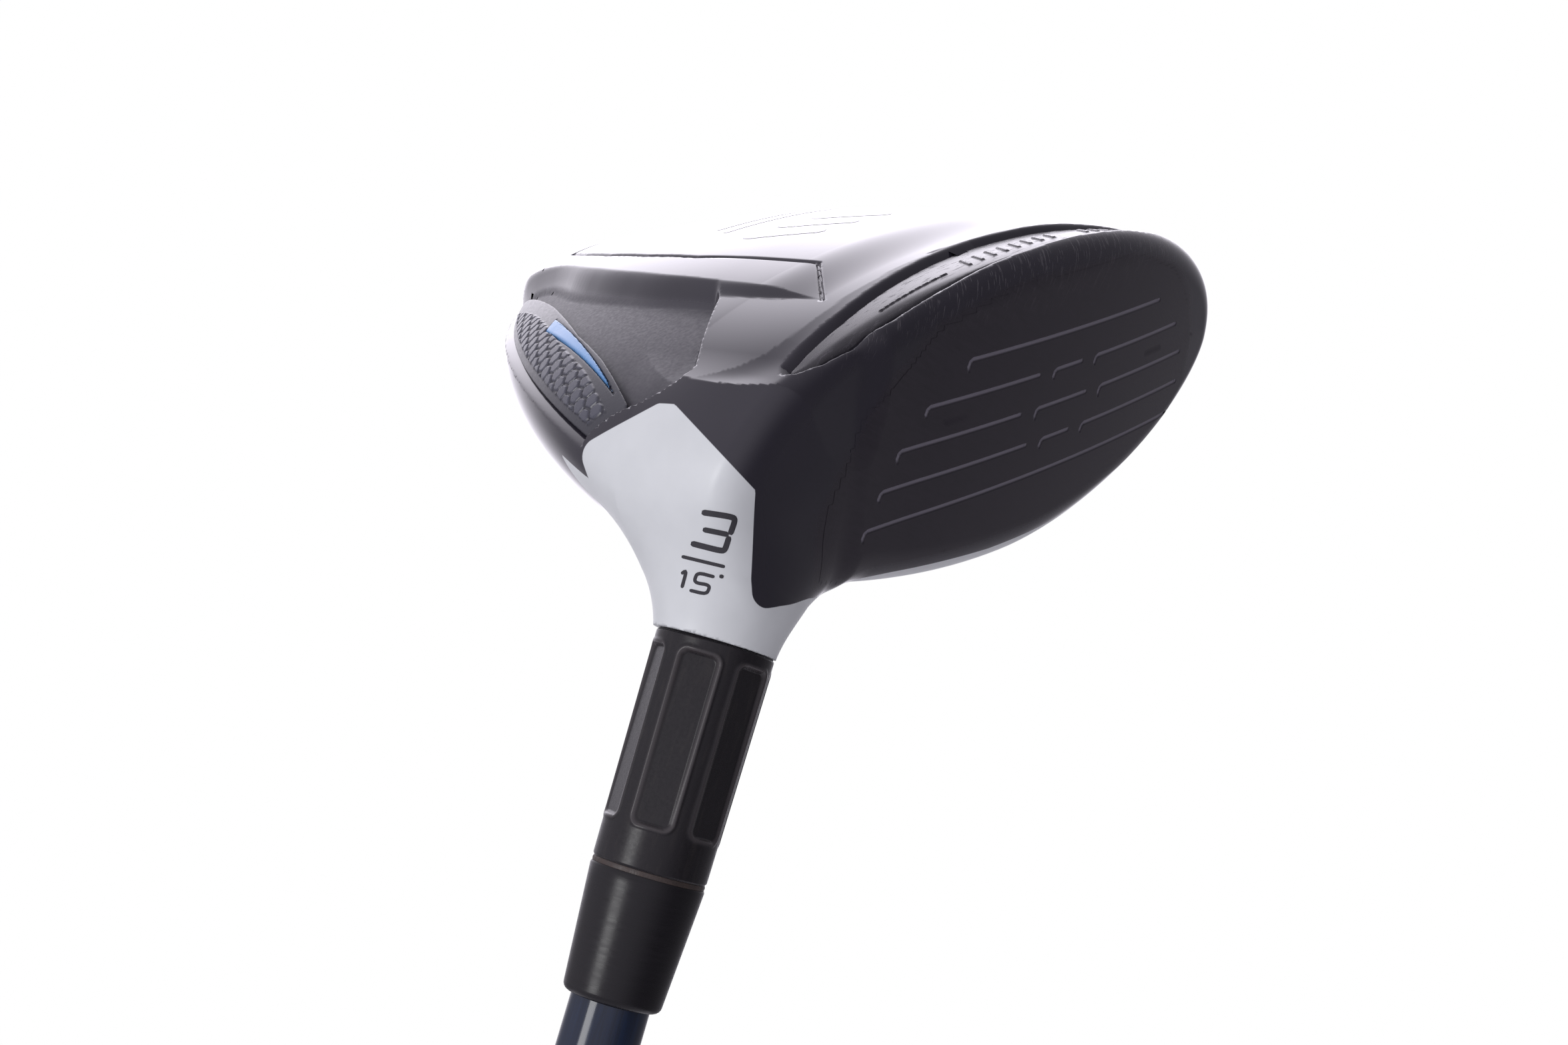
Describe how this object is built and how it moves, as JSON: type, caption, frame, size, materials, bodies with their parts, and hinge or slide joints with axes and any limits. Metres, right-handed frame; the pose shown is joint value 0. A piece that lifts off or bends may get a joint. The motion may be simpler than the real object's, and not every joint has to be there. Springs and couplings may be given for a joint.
{
  "type": "fairway wood",
  "caption": "Fairway wood golf club: hollow head with a slotted, winged sole, bonded fluted hosel, tapered graphite shaft and ribbed rubber grip.",
  "frame": {"origin": "mouth of the vent hole in the grip cap's end face, on the shaft's axis", "axes": "+Z along the shaft from the grip to the head, -Y the way the face looks, +X towards the toe's side"},
  "size_m": [0.0869, 0.0911, 1.1262],
  "materials": {
    "body_paint": "gloss black with a faint violet cast, chalk white at the neck",
    "face_steel": "satin black, finely brushed",
    "crown_paint": "chalk white paint over composite",
    "adhesive": "structural adhesive",
    "slot_polymer": "scuffed dark polymer",
    "keel_metal": "gloss dark grey",
    "wing_polymer": "matte blue-grey with a honeycomb relief",
    "accent_blue": "gloss light blue",
    "weight_steel": "bare",
    "hot_glue": "cloudy",
    "epoxy": "brown epoxy",
    "ferrule_black": "satin black",
    "graphite": "gloss navy over carbon fibre",
    "brass_pin": "turned",
    "label_film": "printed film",
    "tape_paper": "double-sided tape",
    "grip_rubber": "matte black, textured",
    "cap_rubber": "matte"
  },
  "bodies": {
    "root": {"head_body": "body_paint", "face_plate": "face_steel", "crown_panel": "crown_paint", "crown_bond": "adhesive", "slot_insert": "slot_polymer", "keel_plate": "keel_metal", "wing_inlay_heel": "wing_polymer", "wing_inlay_toe": "wing_polymer", "accent_heel": "accent_blue", "accent_toe": "accent_blue", "keel_weight": "weight_steel", "swing_glue": "hot_glue", "hosel_bond": "epoxy", "seam_ring": "epoxy", "ferrule": "ferrule_black", "shaft": "graphite", "tip_weight": "brass_pin", "shaft_label": "label_film", "grip_tape": "tape_paper", "grip": "grip_rubber", "grip_cap": "cap_rubber"}
  },
  "joints": []
}
